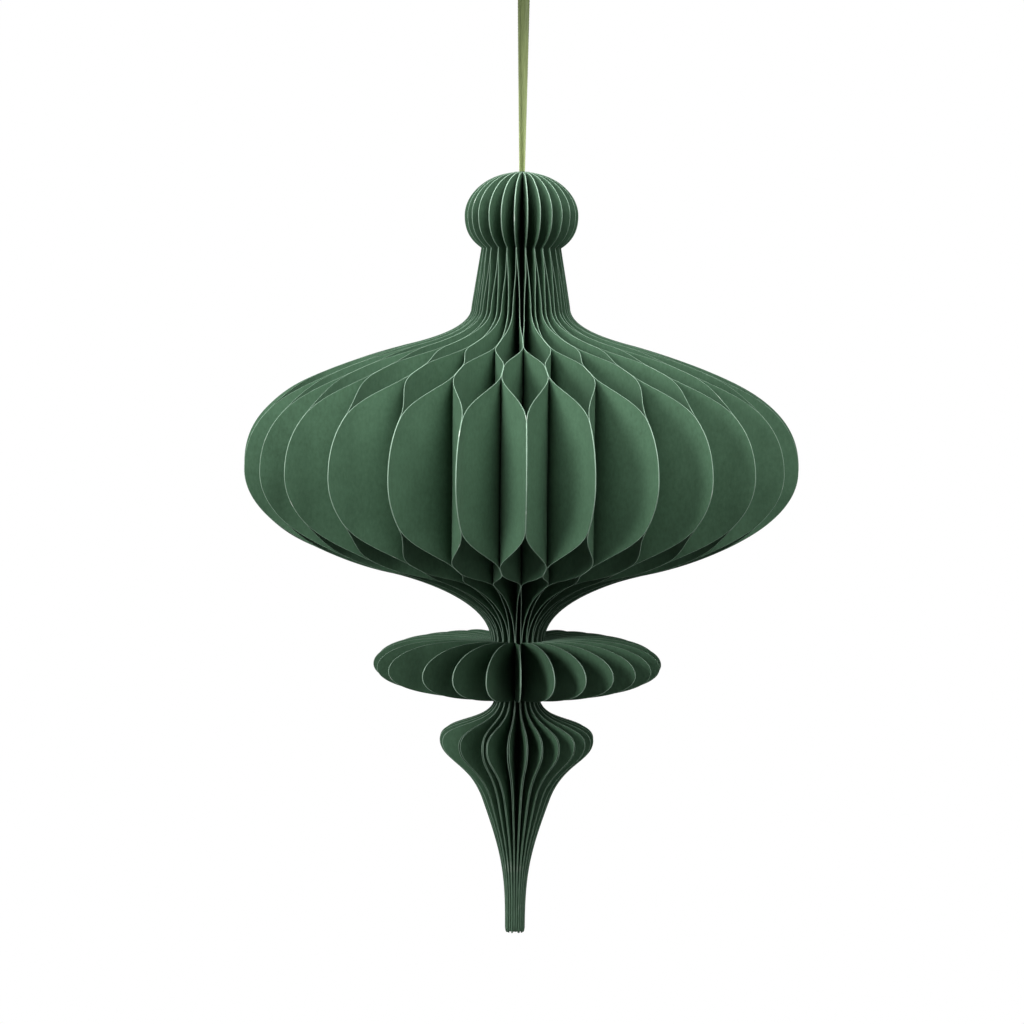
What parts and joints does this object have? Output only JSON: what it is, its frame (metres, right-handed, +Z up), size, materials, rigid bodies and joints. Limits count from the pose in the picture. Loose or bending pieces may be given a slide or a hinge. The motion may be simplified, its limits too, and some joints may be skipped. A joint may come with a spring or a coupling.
{
  "type": "honeycomb paper ornament",
  "caption": "Hanging honeycomb paper ornament: card leaves fanned round a spine, with crown, neck, wide globe, flat saucer and pointed drop, on a ribbon loop.",
  "frame": {"origin": "inside top of the ribbon loop, where the ornament hangs from its hook", "axes": "+Z up along the spine, -Y towards the viewer of the picture, +X to the viewer's right"},
  "size_m": [0.294, 0.295, 0.5092],
  "materials": {
    "card": "uncoated matte card, dyed deep green through its thickness, with paler cut edges",
    "binding": "stitched and glued core of the leaves",
    "ribbon": "narrow woven ribbon, olive green, slightly lustrous"
  },
  "bodies": {
    "root": {"leaf_01": "card", "leaf_02": "card", "leaf_03": "card", "leaf_04": "card", "leaf_05": "card", "leaf_06": "card", "leaf_07": "card", "leaf_08": "card", "leaf_09": "card", "leaf_10": "card", "leaf_11": "card", "leaf_12": "card", "leaf_13": "card", "leaf_14": "card", "leaf_15": "card", "leaf_16": "card", "leaf_17": "card", "leaf_18": "card", "leaf_19": "card", "leaf_20": "card", "leaf_21": "card", "leaf_22": "card", "leaf_23": "card", "leaf_24": "card", "leaf_25": "card", "leaf_26": "card", "leaf_27": "card", "leaf_28": "card", "leaf_29": "card", "leaf_30": "card", "leaf_31": "card", "leaf_32": "card", "leaf_33": "card", "leaf_34": "card", "leaf_35": "card", "leaf_36": "card", "leaf_37": "card", "leaf_38": "card", "leaf_39": "card", "leaf_40": "card", "leaf_41": "card", "leaf_42": "card", "leaf_43": "card", "leaf_44": "card", "leaf_45": "card", "leaf_46": "card", "leaf_47": "card", "leaf_48": "card", "leaf_49": "card", "leaf_50": "card", "leaf_51": "card", "leaf_52": "card", "leaf_53": "card", "leaf_54": "card", "spine_binding": "binding", "hanging_ribbon": "ribbon"}
  },
  "joints": []
}
